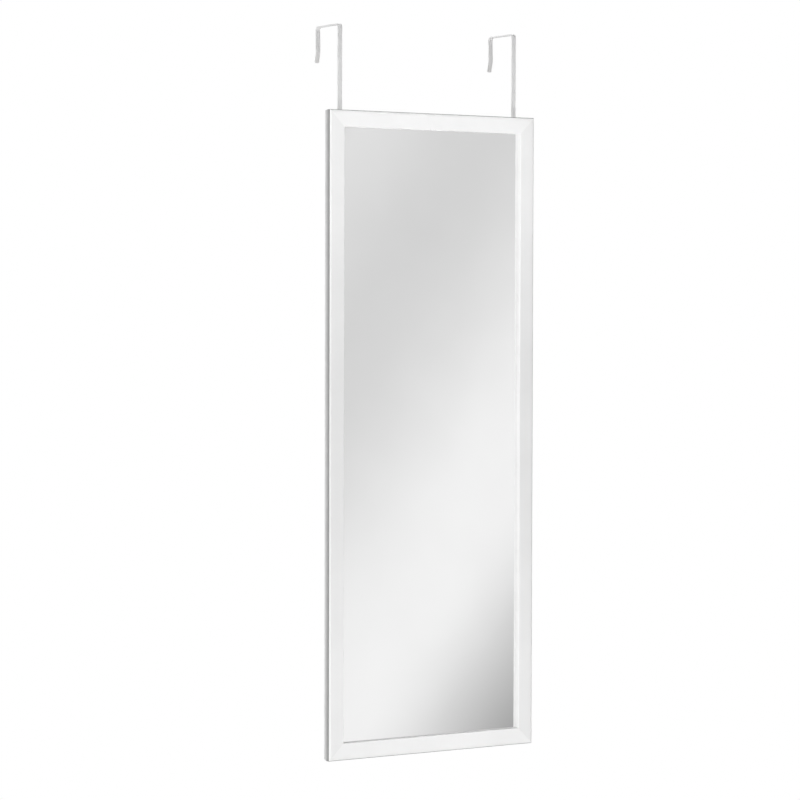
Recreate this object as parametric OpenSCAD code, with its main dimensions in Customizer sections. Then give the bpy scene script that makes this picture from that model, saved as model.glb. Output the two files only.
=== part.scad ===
// Over the door mirror: a mitred white frame round a plain mirror, carried by two bent flat hooks.
// +X is to the right seen from the front, the mirror faces -Y, and +Z is up.
// The origin is midway between the hooks on the door's top front edge: the door's top is z = 0,
// its front is y = 0, and every depth below is measured from the flat back of the frame.

/* [Frame] */
// Width of the frame over its outer edges
frame_w = 406; // [250:1:700]
// Height of the frame over its outer edges
frame_h = 1067; // [500:1:1600]
// Width of the moulding, from its outer edge to the sight edge
face_w = 28; // [24:0.5:60]
// Thickness of the moulding, front to back
frame_depth = 18; // [17:0.5:30]

/* [Moulding] */
// Width of the soft round-over along the outer front edge
edge_round_w = 4.8; // [2:0.1:6]
// Radius of that round-over
edge_round_r = 8; // [6.5:0.1:14]
// Radius of the inner front edge
sight_round_r = 1; // [0.5:0.1:2]
// How far the front part of the outer side runs square before it tapers
side_flat = 8; // [4:0.5:12]
// How much the outer side draws in towards the back
side_taper = 1.5; // [0.5:0.1:3]
// Depth of the sight wall, from the face to the glass
sight_depth = 8; // [5:0.5:10]
// Width of the lip that holds the glass
lip_w = 6; // [4:0.5:8]

/* [Mirror and back] */
// Thickness of the silvered glass
glass_t = 3; // [2:0.5:4]
// Width of the fine arris ground on the glass's front edges
glass_arris = 0.5; // [0.2:0.1:1]
// Thickness of the cardboard packing behind the glass
packing_t = 1; // [0.5:0.1:1.5]
// Thickness of the hardboard back
board_t = 2.5; // [2:0.1:3]
// Gap all round the glass and the back in the rabbet
pane_gap = 1; // [0.5:0.1:2]

/* [Back points] */
// Number of bent points along each side of the back
side_points = 7; // [3:1:12]
// Number of bent points along the top and along the bottom
rail_points = 3; // [2:1:6]
// Width of a point
point_w = 9; // [6:0.5:12]
// Length of a point that lies on the back
point_reach = 11; // [8:0.5:15]
// Length of a point that is driven into the moulding
point_bite = 4.5; // [3:0.5:6]
// Thickness of a point
point_t = 0.4; // [0.3:0.1:0.8]
// Distance from the frame's corner to the first point
point_margin = 85; // [60:5:110]

/* [Corner nails] */
// Length of each leg of a corner nail
nail_leg = 5; // [3:0.5:6]
// Thickness of a corner nail
nail_t = 0.6; // [0.4:0.1:1]
// Depth that a corner nail is driven to
nail_h = 8; // [5:0.5:10]
// Distance of the first nail from the outer edges
nail_first = 6; // [4:0.5:8]
// Distance between the two nails along an edge
nail_pitch = 7; // [6:0.5:9]

/* [Hooks] */
// Width of the steel strap
strap_w = 8; // [7:0.5:16]
// Thickness of the strap
strap_t = 2; // [1.5:0.1:3]
// Distance of a hook's middle from the frame's side
hook_inset = 30; // [26:1:70]
// Height of a hook above the frame when it is pushed right down
riser_h = 142; // [60:1:200]
// Clear gap between the riser and the lip
door_gap = 68; // [38:1:90]
// Inner radius of the two top bends
bend_r = 4; // [2:0.5:8]
// Drop of the lip's tip below the top of the hook
lip_drop = 60; // [45:1:90]
// Lean of the lip towards the door, in degrees
lip_lean = 1.5; // [0:0.5:4]
// Length of the turned-out end of the lip
flare_len = 17; // [10:1:22]
// Angle of the turned-out end, in degrees
flare_angle = 14; // [5:1:30]
// Inner radius of the bend at the turned-out end
flare_r = 8; // [4:1:12]
// Radius of the strap's corners at both ends
strap_corner_r = 2; // [1:0.5:3]
// Travel of a hook up from its lowest setting
hook_travel = 45; // [10:1:80]

/* [Hook screws] */
// Diameter of the screws that clamp the hooks
screw_d = 3.5; // [3:0.1:4]
// Length of a screw below its head
screw_len = 12; // [9:0.5:14]
// Length of a screw's point
screw_point = 3; // [2:0.5:4]
// Diameter of a screw's head
head_d = 7; // [6:0.1:7.5]
// Height of a screw's head
head_h = 2.2; // [1.8:0.1:3]
// Width of each arm of the cross in the head
cross_w = 0.9; // [0.6:0.1:1.2]
// Length of each arm of the cross in the head, tip to tip
cross_len = 3.8; // [3:0.1:4.5]
// Depth of the cross
cross_depth = 1.3; // [0.8:0.1:1.5]
// Distance between the two screws of a hook
screw_pitch = 9; // [8.5:0.1:11]
// Diameter of a washer
washer_d = 8; // [7:0.1:8.4]
// Thickness of a washer
washer_t = 0.8; // [0.5:0.1:1.2]
// Gap round a screw in its washer
washer_gap = 0.2; // [0.1:0.05:0.4]
// Gap on each side of a screw in the strap's slot
slot_gap = 0.35; // [0.2:0.05:0.6]
// Gap between the strap and the faces that it slides between
slide_gap = 0.05; // [0.02:0.01:0.1]

/* [Bumpers] */
// Diameter of the rubber bumpers low on the back
bumper_d = 14; // [10:0.5:18]
// Radius of a bumper's outer edge
bumper_edge_r = 1.5; // [0.5:0.1:2]
// Height of a bumper's middle above the bottom edge
bumper_rise = 45; // [35:1:120]

/* [Hidden] */

$fn = 48;
// Overshoot of a cutting shape past the face that it cuts
over = 1;
// Number of flats along each bend of a strap
arc_steps = 10;

// The rabbet's wall and the flat band behind it, as distances in from the outer edge
rabbet_wall = face_w - lip_w;
back_band = rabbet_wall - side_taper;
hook_top = strap_t;
frame_top = hook_top - riser_h;
frame_bottom = frame_top - frame_h;
frame_mid = (frame_top + frame_bottom) / 2;
screw_z = frame_top - side_taper - back_band / 2;

// Depth at which the round-over meets the outer side
edge_round_d = edge_round_r - sqrt(pow(edge_round_r, 2) - pow(edge_round_w, 2));

// The layers in the rabbet, from the glass's face to the back of the board
pane_w = frame_w - 2 * (rabbet_wall + pane_gap);
pane_h = frame_h - 2 * (rabbet_wall + pane_gap);
glass_y = sight_depth - frame_depth;
packing_y = glass_y + glass_t;
board_y = packing_y + packing_t;
point_y = board_y + board_t;

// The stack on a hook screw, from the rail's back to the top of the head
strap_y = slide_gap;
washer_y = strap_y + strap_t + slide_gap;
head_y = washer_y + washer_t;
bumper_t = head_y + head_h;

// The frame's flat back hangs in front of the door by the height of the screw heads and bumpers
back_y = -bumper_t;

// The slot in a strap, and the strap's two ends
slot_r = screw_d / 2 + slot_gap;
slot_top = screw_z + screw_pitch / 2;
slot_bottom = screw_z - screw_pitch / 2 - hook_travel;
leg_end = slot_bottom - slot_r - strap_w / 2;
lip_end = hook_top - lip_drop;

// Directions along the lip and its turned-out end, and square to them away from the door
lip_run = [-sin(lip_lean), -cos(lip_lean)];
lip_side = [cos(lip_lean), -sin(lip_lean)];
flare_run = [sin(flare_angle), -cos(flare_angle)];
flare_side = [cos(flare_angle), sin(flare_angle)];

// The centres of a hook's bends, as distances back from the frame and up
front_bend = [strap_y + strap_t + bend_r, hook_top - strap_t - bend_r];
rear_bend = [strap_y + strap_t + door_gap - bend_r, hook_top - strap_t - bend_r];
flare_end_drop = (flare_r + strap_t) * flare_side[1] - flare_len * flare_run[1];
flare_bend_z = lip_end + flare_end_drop;
lip_offset = (bend_r + strap_t + flare_r) * lip_side;
lip_straight = (flare_bend_z - rear_bend[1] - lip_offset[1]) / lip_run[1];
flare_bend = rear_bend + lip_offset + lip_straight * lip_run;

// Points along an arc, from one angle to another
function arc(centre, radius, from, to) = [
    for (step = [0 : arc_steps])
        let (angle = from + (to - from) * step / arc_steps)
            centre + radius * [cos(angle), sin(angle)]
];

// A corner to take off a section: a square less the circle of the round that stays
module corner_waste(w, d, r) {
    difference() {
        translate([-over, -over])
            square([w + over, d + over]);
        translate([w, r])
            circle(r);
    }
}

// Section of the moulding: x runs in from the outer edge, y runs back from the face
module moulding_section() {
    difference() {
        polygon([
            [0, 0],
            [face_w, 0],
            [face_w, sight_depth],
            [rabbet_wall, sight_depth],
            [rabbet_wall, frame_depth],
            [side_taper, frame_depth],
            [0, side_flat]
        ]);
        corner_waste(edge_round_w, edge_round_d, edge_round_r);
        translate([face_w, 0])
            mirror([1, 0])
                corner_waste(sight_round_r, sight_round_r, sight_round_r);
    }
}

// A length of moulding along z, cut at 45 degrees at both ends
module mitred_length(length) {
    intersection() {
        linear_extrude(length)
            moulding_section();
        translate([0, frame_depth + over, 0])
            rotate([90, 0, 0])
                linear_extrude(frame_depth + 2 * over)
                    polygon([[0, 0], [face_w, face_w], [face_w, length - face_w], [0, length]]);
    }
}

// Repeats its children at the four corners: x and z run inwards from the corner
module at_corners() {
    for (side = [0, 1])
        mirror([side, 0, 0])
            for (end = [0, 1])
                translate([-frame_w / 2, back_y, end == 0 ? frame_top : frame_bottom])
                    mirror([0, 0, 1 - end])
                        children();
}

// Places its children on a side's stile: x runs in from the frame's edge, z runs up from the bottom
module on_stile(side) {
    mirror([side == "right" ? 1 : 0, 0, 0])
        translate([-frame_w / 2, back_y, frame_bottom])
            children();
}

// Places its children on a rail: x runs in from the frame's edge, z runs along the rail
module on_rail(end) {
    translate([0, 0, end == "top" ? frame_top : frame_bottom])
        mirror([0, 0, end == "top" ? 0 : 1])
            translate([-frame_w / 2, back_y, 0])
                rotate([0, 90, 0])
                    children();
}

// One corner nail: a bent steel strip, with a leg in each member and its spine on the mitre
module corner_nail() {
    translate([0, -nail_h, 0]) {
        cube([nail_leg, nail_h, nail_t]);
        cube([nail_t, nail_h, nail_leg]);
    }
}

module corner_nails() {
    color("silver")
        at_corners()
            for (step = [0, 1])
                translate([nail_first + step * nail_pitch, 0, nail_first + step * nail_pitch])
                    corner_nail();
}

// One back point: a thin tab with a sharpened end in the moulding and a rounded end on the board
module back_point() {
    translate([rabbet_wall, point_y, 0])
        rotate([-90, 0, 0])
            linear_extrude(point_t) {
                polygon([
                    [point_reach - point_w / 2, point_w / 2],
                    [-point_bite / 2, point_w / 2],
                    [-point_bite, 0],
                    [-point_bite / 2, -point_w / 2],
                    [point_reach - point_w / 2, -point_w / 2]
                ]);
                translate([point_reach - point_w / 2, 0])
                    circle(point_w / 2);
            }
}

// A row of points spread evenly along a member between two equal margins
module point_row(length, count) {
    pitch = (length - 2 * point_margin) / (count - 1);
    for (step = [0 : count - 1])
        translate([0, 0, point_margin + step * pitch])
            back_point();
}

module back_points_left() {
    color("silver")
        on_stile("left")
            point_row(frame_h, side_points);
}

module back_points_right() {
    color("silver")
        on_stile("right")
            point_row(frame_h, side_points);
}

module back_points_top() {
    color("silver")
        on_rail("top")
            point_row(frame_w, rail_points);
}

module back_points_bottom() {
    color("silver")
        on_rail("bottom")
            point_row(frame_w, rail_points);
}

// Repeats its children at a hook's two screws, with y running back from the top rail
module at_hook_screws(side) {
    mirror([side == "right" ? 1 : 0, 0, 0])
        for (end = [-1, 1])
            translate([hook_inset - frame_w / 2, back_y, screw_z + end * screw_pitch / 2])
                children();
}

// The shank of a hook screw, which is also the hole that it cuts for itself
module screw_shank() {
    translate([0, head_y, 0])
        rotate([90, 0, 0]) {
            cylinder(h = screw_len - screw_point, d = screw_d);
            translate([0, 0, screw_len - screw_point])
                cylinder(h = screw_point, d1 = screw_d, d2 = screw_d / 8);
        }
}

// A domed head with a cross in it
module screw_head() {
    dome_r = head_h - head_h / 4;
    translate([0, head_y, 0])
        rotate([-90, 0, 0])
            difference() {
                rotate_extrude()
                    intersection() {
                        square([head_d / 2, head_h]);
                        union() {
                            square([head_d / 2, head_h - dome_r]);
                            square([head_d / 2 - dome_r, head_h]);
                            translate([head_d / 2 - dome_r, head_h - dome_r])
                                circle(dome_r);
                        }
                    }
                for (turn = [0, 90])
                    rotate([0, 0, turn])
                        translate([-cross_len / 2, -cross_w / 2, head_h - cross_depth])
                            cube([cross_len, cross_w, cross_depth + over]);
            }
}

module hook_screws(side) {
    color("gainsboro")
        at_hook_screws(side) {
            screw_shank();
            screw_head();
        }
}

module hook_washers(side) {
    color("silver")
        at_hook_screws(side)
            translate([0, washer_y, 0])
                rotate([-90, 0, 0])
                    difference() {
                        cylinder(h = washer_t, d = washer_d);
                        translate([0, 0, -over])
                            cylinder(h = washer_t + 2 * over, d = screw_d + 2 * washer_gap);
                    }
}

module hook_screws_left() { hook_screws("left"); }
module hook_screws_right() { hook_screws("right"); }
module hook_washers_left() { hook_washers("left"); }
module hook_washers_right() { hook_washers("right"); }

module left_stile() {
    color("whitesmoke")
        difference() {
            on_stile("left")
                translate([0, -frame_depth, 0])
                    mitred_length(frame_h);
            corner_nails();
            back_points_left();
        }
}

module right_stile() {
    color("whitesmoke")
        difference() {
            on_stile("right")
                translate([0, -frame_depth, 0])
                    mitred_length(frame_h);
            corner_nails();
            back_points_right();
        }
}

module top_rail() {
    color("whitesmoke")
        difference() {
            on_rail("top")
                translate([0, -frame_depth, 0])
                    mitred_length(frame_w);
            corner_nails();
            back_points_top();
            at_hook_screws("left")
                screw_shank();
            at_hook_screws("right")
                screw_shank();
        }
}

module bottom_rail() {
    color("whitesmoke")
        difference() {
            on_rail("bottom")
                translate([0, -frame_depth, 0])
                    mitred_length(frame_w);
            corner_nails();
            back_points_bottom();
        }
}

// A sheet that fills the rabbet, with its front face at y
module pane(y, thickness) {
    translate([-pane_w / 2, back_y + y, frame_mid - pane_h / 2])
        cube([pane_w, thickness, pane_h]);
}

// The silvered glass, with a fine arris ground along its four front edges
module mirror_glass() {
    color("lightsteelblue")
        difference() {
            pane(glass_y, glass_t);
            for (side = [-1, 1]) {
                translate([side * pane_w / 2, back_y + glass_y, frame_mid])
                    rotate([0, 0, 45])
                        cube([sqrt(2) * glass_arris, sqrt(2) * glass_arris, pane_h + over], center = true);
                translate([0, back_y + glass_y, frame_mid + side * pane_h / 2])
                    rotate([45, 0, 0])
                        cube([pane_w + over, sqrt(2) * glass_arris, sqrt(2) * glass_arris], center = true);
            }
        }
}

module packing_sheet() {
    color("wheat")
        pane(packing_y, packing_t);
}

module backing_board() {
    color("peru")
        pane(board_y, board_t);
}

// A rubber bumper as proud of the back as the heads of the hook screws
module bumper(side) {
    on_stile(side)
        translate([side_taper + back_band / 2, 0, bumper_rise])
            rotate([-90, 0, 0])
                rotate_extrude()
                    intersection() {
                        square([bumper_d / 2, bumper_t]);
                        union() {
                            square([bumper_d / 2, bumper_t - bumper_edge_r]);
                            square([bumper_d / 2 - bumper_edge_r, bumper_t]);
                            translate([bumper_d / 2 - bumper_edge_r, bumper_t - bumper_edge_r])
                                circle(bumper_edge_r);
                        }
                    }
}

module bumper_left() {
    color("dimgray")
        bumper("left");
}

module bumper_right() {
    color("dimgray")
        bumper("right");
}

// Section of a hook, x back from the frame and y up: leg and riser, span, lip and turned-out end
module hook_section() {
    polygon(concat(
        [[strap_y, leg_end]],
        arc(front_bend, bend_r + strap_t, 180, 90),
        arc(rear_bend, bend_r + strap_t, 90, -lip_lean),
        arc(flare_bend, flare_r, 180 - lip_lean, 180 + flare_angle),
        [flare_bend - flare_r * flare_side + flare_len * flare_run],
        [flare_bend - (flare_r + strap_t) * flare_side + flare_len * flare_run],
        arc(flare_bend, flare_r + strap_t, 180 + flare_angle, 180 - lip_lean),
        arc(rear_bend, bend_r, -lip_lean, 90),
        arc(front_bend, bend_r, 90, 180),
        [[strap_y + strap_t, leg_end]]
    ));
}

// Rounds the two corners of a strap's end that faces down, with its lowest edge at z
module strap_end_waste(z, y_from, y_to) {
    for (side = [0, 1])
        translate([0, 0, z])
            mirror([side, 0, 0])
                translate([strap_w / 2, y_to, 0])
                    rotate([90, 0, 0])
                        mirror([1, 0, 0])
                            linear_extrude(y_to - y_from)
                                corner_waste(strap_corner_r, strap_corner_r, strap_corner_r);
}

// One bent strap at x = 0, with the long slot that its two screws clamp
module hook() {
    strap_back = strap_y + strap_t;
    difference() {
        translate([-strap_w / 2, 0, 0])
            rotate([90, 0, 90])
                linear_extrude(strap_w)
                    hook_section();
        for (z = [slot_bottom, slot_top])
            translate([0, strap_back + over, z])
                rotate([90, 0, 0])
                    cylinder(h = strap_t + 2 * over, r = slot_r);
        translate([-slot_r, strap_y - over, slot_bottom])
            cube([2 * slot_r, strap_t + 2 * over, slot_top - slot_bottom]);
        strap_end_waste(leg_end, strap_y - over, strap_back + over);
        strap_end_waste(lip_end, strap_back + over, strap_back + 2 * door_gap);
    }
}

module hook_left() {
    color("gainsboro")
        translate([hook_inset - frame_w / 2, back_y, 0])
            hook();
}

module hook_right() {
    color("gainsboro")
        translate([frame_w / 2 - hook_inset, back_y, 0])
            hook();
}

left_stile();
right_stile();
top_rail();
bottom_rail();
corner_nails();
mirror_glass();
packing_sheet();
backing_board();
back_points_left();
back_points_right();
back_points_top();
back_points_bottom();
bumper_left();
bumper_right();
hook_left();
hook_right();
hook_screws_left();
hook_screws_right();
hook_washers_left();
hook_washers_right();
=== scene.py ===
"""An over the door mirror: a mitred white frame round silvered glass, hung on two slotted strap hooks.

Sizes are in millimetres until a piece is made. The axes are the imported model's: the door's top is z = 0,
its front is y = 0, the mirror faces -Y, and +X is to the right seen from the front. Each piece takes its
place and its outer size from the solid that it stands for.
"""

import logging
import math
from collections.abc import Iterable
from dataclasses import dataclass
from enum import Enum

import bmesh
import bpy
from bmesh.types import BMEdge, BMesh, BMFace, BMVert
from bpy.types import ID, ColorRamp, Material, Mesh, Node, NodeSocket, NodeTree, Object, World
from mathutils import Matrix, Vector


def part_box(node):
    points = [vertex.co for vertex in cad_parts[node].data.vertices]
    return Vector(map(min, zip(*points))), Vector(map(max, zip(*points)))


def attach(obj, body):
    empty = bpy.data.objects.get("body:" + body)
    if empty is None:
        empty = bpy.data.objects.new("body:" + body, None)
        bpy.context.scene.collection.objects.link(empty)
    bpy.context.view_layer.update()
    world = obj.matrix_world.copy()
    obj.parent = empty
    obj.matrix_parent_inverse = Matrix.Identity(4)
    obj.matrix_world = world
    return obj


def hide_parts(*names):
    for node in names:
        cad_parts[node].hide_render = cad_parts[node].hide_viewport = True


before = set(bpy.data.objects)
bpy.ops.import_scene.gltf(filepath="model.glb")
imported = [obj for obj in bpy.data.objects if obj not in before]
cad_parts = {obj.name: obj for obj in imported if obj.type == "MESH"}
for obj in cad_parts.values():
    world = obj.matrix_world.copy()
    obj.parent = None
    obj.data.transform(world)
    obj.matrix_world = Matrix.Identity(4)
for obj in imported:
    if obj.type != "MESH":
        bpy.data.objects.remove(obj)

Pair = tuple[float, float]
Triple = tuple[float, float, float]

LOG = logging.getLogger("door_mirror")
MM = 0.001
FULL_TURN = 2 * math.pi
X_AXIS = Vector((1, 0, 0))
Y_AXIS = Vector((0, 1, 0))
Z_AXIS = Vector((0, 0, 1))
IN_PLACE = Matrix.Identity(4)
# Turns what is made along Z so that it points back, along Y
TO_BACK = Matrix.Rotation(-math.pi / 2, 4, "X")
# Edges that turn by less than this belong to a curve and are left alone
SHARP = math.radians(30)
# Points nearer than this, in millimetres, are one
WELD = 1e-4
# Places nearer than this, in millimetres, count as level
NEAR = 0.01
# The flats round a part turned on the lathe
LATHE_STEPS = 48
# Most of a noise pattern lies between these
NOISE_SPAN = {"From Min": 0.3, "From Max": 0.7}
# A wave pattern repeats this often in a full turn of its coordinate
WAVES_PER_TURN = 20
# The colour sockets of a Mix node, whose other sockets have the same names
MIX_A, MIX_B, MIX_OUT = 6, 7, 2


# ---- colours and nodes


def linear(code: str) -> tuple[float, float, float, float]:
    """Turns an sRGB hex colour to linear.

    Args:
        code: the colour as "#RRGGBB".

    Returns:
        Red, green, blue and an alpha of 1.
    """
    channels = [int(code[i : i + 2], 16) / 255 for i in (1, 3, 5)]
    flat = [c / 12.92 if c <= 0.04045 else ((c + 0.055) / 1.055) ** 2.4 for c in channels]
    return (*flat, 1.0)


def add_node(tree: NodeTree, kind: str, settings: dict[str | int, object] | None = None) -> Node:
    """Adds a node with its settings and links.

    Args:
        tree: the node tree.
        kind: the node's type, without ShaderNode in front.
        settings: its own properties by name, and a value or a socket for its inputs by name or number.

    Returns:
        The new node.
    """
    made = tree.nodes.new(f"ShaderNode{kind}")
    for key, value in (settings or {}).items():
        if isinstance(value, NodeSocket):
            tree.links.new(value, made.inputs[key])
        elif isinstance(key, str) and hasattr(made, key):
            setattr(made, key, value)
        else:
            made.inputs[key].default_value = value
    return made


def empty_tree(owner: Material | World) -> NodeTree:
    """Returns the node tree of a material or a world, with nothing in it."""
    owner.use_nodes = True
    owner.node_tree.nodes.clear()
    return owner.node_tree


# ---- finishes


@dataclass(frozen=True)
class Grain:
    """A noise pattern of a real size, in millimetres along X, Y and Z, fixed to the piece."""

    size: Triple
    detail: float = 2.0

    def lay(self, tree: NodeTree) -> NodeSocket:
        """Lays the pattern in a material.

        Args:
            tree: the material's tree.

        Returns:
            The pattern, which lies mostly in NOISE_SPAN.
        """
        place = add_node(tree, "TexCoord").outputs["Object"]
        scale = tuple(1 / (size * MM) for size in self.size)
        sized = add_node(tree, "Mapping", {"Vector": place, "Scale": scale}).outputs["Vector"]
        noise = {"Vector": sized, "Scale": 1.0, "Detail": self.detail}
        return add_node(tree, "TexNoise", noise).outputs["Fac"]


def even(size: float, detail: float = 2.0) -> Grain:
    """Returns a grain of one size all ways."""
    return Grain((size, size, size), detail)


@dataclass(frozen=True, kw_only=True)
class Finish:
    """What every finish has: a tone, a gloss and a relief that each follow a pattern of a real size."""

    name: str
    light: str
    shade: str
    tone: Grain
    texture: Grain
    gloss: Pair
    relief: float
    metallic: float = 0.0
    ior: float = 1.5

    def colour(self, tree: NodeTree) -> NodeSocket:
        """Varies the colour between the shade and the light.

        Args:
            tree: the material's tree.

        Returns:
            The colour.
        """
        share = add_node(tree, "MapRange", NOISE_SPAN | {"Value": self.tone.lay(tree)})
        return self.blend(tree, share.outputs["Result"])

    def blend(self, tree: NodeTree, share: NodeSocket) -> NodeSocket:
        """Mixes the shade and the light.

        Args:
            tree: the material's tree.
            share: how much of the light there is.

        Returns:
            The colour.
        """
        mix = {"data_type": "RGBA", 0: share, MIX_A: linear(self.shade), MIX_B: linear(self.light)}
        return add_node(tree, "Mix", mix).outputs[MIX_OUT]

    def heights(self, tree: NodeTree, texture: NodeSocket) -> list[tuple]:
        """Lists the layers of relief, from the lowest.

        Args:
            tree: the material's tree.
            texture: the texture's pattern.

        Returns:
            Each layer's pattern and its depth in millimetres.
        """
        return [(texture, self.relief)]

    def material(self) -> Material:
        """Returns the finish as a material."""
        made = bpy.data.materials.new(self.name)
        tree = empty_tree(made)
        texture = self.texture.lay(tree)
        low, high = self.gloss
        rough = add_node(tree, "MapRange", NOISE_SPAN | {"Value": texture, "To Min": low, "To Max": high})
        inputs = {"Base Color": self.colour(tree), "Metallic": self.metallic, "IOR": self.ior}
        inputs["Roughness"] = rough.outputs["Result"]
        for pattern, depth in self.heights(tree, texture):
            raised = {"Height": pattern, "Strength": 1.0, "Distance": depth * MM}
            if "Normal" in inputs:
                raised["Normal"] = inputs["Normal"]
            inputs["Normal"] = add_node(tree, "Bump", raised).outputs["Normal"]
        surface = add_node(tree, "BsdfPrincipled", inputs)
        add_node(tree, "OutputMaterial", {"Surface": surface.outputs["BSDF"]})
        return made


class Draw(Enum):
    """The way that a length of moulding was drawn, as the sizes of its lines along X, Y and Z."""

    UPRIGHT = (1.7, 1.7, 260.0)
    LEVEL = (260.0, 1.7, 1.7)


@dataclass(frozen=True)
class SatinMoulding(Finish):
    """Polystyrene moulding with a satin white skin.

    It is drawn through a die, which leaves a soft broad gloss and faint lines along each length. The lines
    are drawn about 1.7 mm apart, coarser than the real ones, so that they just show.
    """

    light: str = "#F4F4F4"
    shade: str = "#F0F0F0"
    tone: Grain = even(90.0)
    gloss: Pair = (0.33, 0.42)
    relief: float = 0.006
    dapple: Grain = even(2.4, 1.0)
    dapple_relief: float = 0.012

    @classmethod
    def along(cls, draw: Draw, **tones: str) -> "SatinMoulding":
        """Returns the finish with its lines along a length and, if they are given, its own tones."""
        lines = Grain(draw.value, detail=3.0)
        return cls(name=f"satin_white_moulding_{draw.name.lower()}", texture=lines, **tones)

    def heights(self, tree: NodeTree, texture: NodeSocket) -> list[tuple]:
        """Lists the shallow dapple of the skin, then the drawn lines."""
        return [(self.dapple.lay(tree), self.dapple_relief), (texture, self.relief)]


@dataclass(frozen=True)
class MouldingSidePaintedShade(Finish):
    """The moulding's outer side and the outer part of its round: painted shade, darkest at the front
    corner.

    It stands for the shade on the left side and in the thin grey line round the frame. The grey is fixed to
    the moulding's depth, which runs along Y on all four lengths.
    """

    name: str = "moulding_side_painted_shade"
    # Painted shade: the light tone at the rear edge, the shade at the front corner
    light: str = "#DADADA"
    shade: str = "#949494"
    tone: Grain = even(14.0)
    texture: Grain = even(1.8)
    gloss: Pair = (0.42, 0.52)
    relief: float = 0.015
    waver: float = 3.0

    def colour(self, tree: NodeTree) -> NodeSocket:
        """Paints shade on the side, darker from its rear edge to the corner, along a line that wavers a
        little.

        Args:
            tree: the material's tree.

        Returns:
            The colour.
        """
        low, high = node_box("left_stile")
        place = add_node(tree, "TexCoord").outputs["Object"]
        back = add_node(tree, "SeparateXYZ", {"Vector": place}).outputs["Y"]
        wavering = {"operation": "MULTIPLY_ADD", 0: self.tone.lay(tree), 1: self.waver * MM, 2: back}
        depth = add_node(tree, "Math", wavering).outputs["Value"]
        span = {"Value": depth, "From Min": (low.y + 2 * self.waver) * MM, "From Max": high.y * MM}
        return self.blend(tree, add_node(tree, "MapRange", span).outputs["Result"])


@dataclass(frozen=True)
class SilveredGlass(Finish):
    """Float glass silvered on its back: a clear mirror with no tint to speak of and almost no haze."""

    name: str = "silvered_float_glass"
    light: str = "#FAFAFA"
    shade: str = "#F7F7F7"
    tone: Grain = even(140.0)
    texture: Grain = even(160.0)
    gloss: Pair = (0.004, 0.012)
    relief: float = 0.0005
    metallic: float = 1.0


@dataclass(frozen=True)
class BackingPaint(Finish):
    """The grey paint rolled over the silver on a mirror's back: matt and slightly mottled."""

    name: str = "mirror_backing_paint"
    light: str = "#8E9290"
    shade: str = "#7E8281"
    tone: Grain = even(6.0, 3.0)
    texture: Grain = even(6.0, 3.0)
    gloss: Pair = (0.5, 0.65)
    relief: float = 0.02


@dataclass(frozen=True)
class PowderCoat(Finish):
    """Pale powder coat on steel strap: baked on, so it rounds the edges and dries in a fine orange peel."""

    name: str = "pale_powder_coat"
    light: str = "#E1E1E1"
    shade: str = "#DBDBDB"
    tone: Grain = even(25.0)
    texture: Grain = even(0.9, 1.0)
    gloss: Pair = (0.34, 0.44)
    relief: float = 0.02


@dataclass(frozen=True)
class ZincPlate(Finish):
    """Bright zinc plate, tumbled: a pale bluish metal with a fine even bloom and no direction."""

    name: str = "bright_zinc_plate"
    light: str = "#CDD0D4"
    shade: str = "#B9BCC1"
    tone: Grain = even(3.0, 3.0)
    texture: Grain = even(0.25)
    gloss: Pair = (0.24, 0.36)
    relief: float = 0.004
    metallic: float = 1.0


@dataclass(frozen=True)
class RolledStrip(Finish):
    """Cold-rolled steel strip, sheared and bent: a grey metal with short fine rolling marks."""

    name: str = "rolled_steel_strip"
    light: str = "#C2C3C5"
    shade: str = "#ABACAE"
    tone: Grain = even(3.0, 3.0)
    texture: Grain = Grain((0.25, 4.0, 3.0))
    gloss: Pair = (0.27, 0.41)
    relief: float = 0.004
    metallic: float = 1.0


@dataclass(frozen=True)
class Hardboard(Finish):
    """Tempered hardboard: hot-pressed wood fibre, brown and flecked, with the press screen's weave behind.

    The screen's weave is drawn at 2 mm, its real size, and the fibres lie up and down the board.
    """

    name: str = "tempered_hardboard"
    light: str = "#8F6A48"
    shade: str = "#6E4C31"
    tone: Grain = Grain((1.1, 1.1, 3.4), 4.0)
    texture: Grain = Grain((1.1, 1.1, 3.4), 4.0)
    gloss: Pair = (0.62, 0.78)
    relief: float = 0.06
    fleck: str = "#A98862"
    fleck_grain: Grain = Grain((0.6, 0.6, 1.8), 1.0)
    fleck_span: Pair = (0.6, 0.72)
    cloud: Grain = even(45.0)
    cloud_depth: float = 0.16
    screen_pitch: float = 2.0
    screen_relief: float = 0.05

    def colour(self, tree: NodeTree) -> NodeSocket:
        """Scatters pale flecks over the fibre and clouds the whole board a little darker."""
        colour = super().colour(tree)
        low, high = self.fleck_span
        for grain, span, tone in (
            (self.fleck_grain, {"From Min": low, "From Max": high}, self.fleck),
            (self.cloud, NOISE_SPAN | {"To Max": self.cloud_depth}, self.shade),
        ):
            share = add_node(tree, "MapRange", span | {"Value": grain.lay(tree)}).outputs["Result"]
            mix = {"data_type": "RGBA", 0: share, MIX_A: colour, MIX_B: linear(tone)}
            colour = add_node(tree, "Mix", mix).outputs[MIX_OUT]
        return colour

    def heights(self, tree: NodeTree, texture: NodeSocket) -> list[tuple]:
        """Lists the screen's weave, across and along, then the fibre."""
        place = add_node(tree, "TexCoord").outputs["Object"]
        scale = FULL_TURN / WAVES_PER_TURN / (self.screen_pitch * MM)
        layers = []
        for direction in ("X", "Z"):
            wave = {"bands_direction": direction, "Vector": place, "Scale": scale}
            layers.append((add_node(tree, "TexWave", wave).outputs["Fac"], self.screen_relief))
        return [*layers, (texture, self.relief)]


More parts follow.
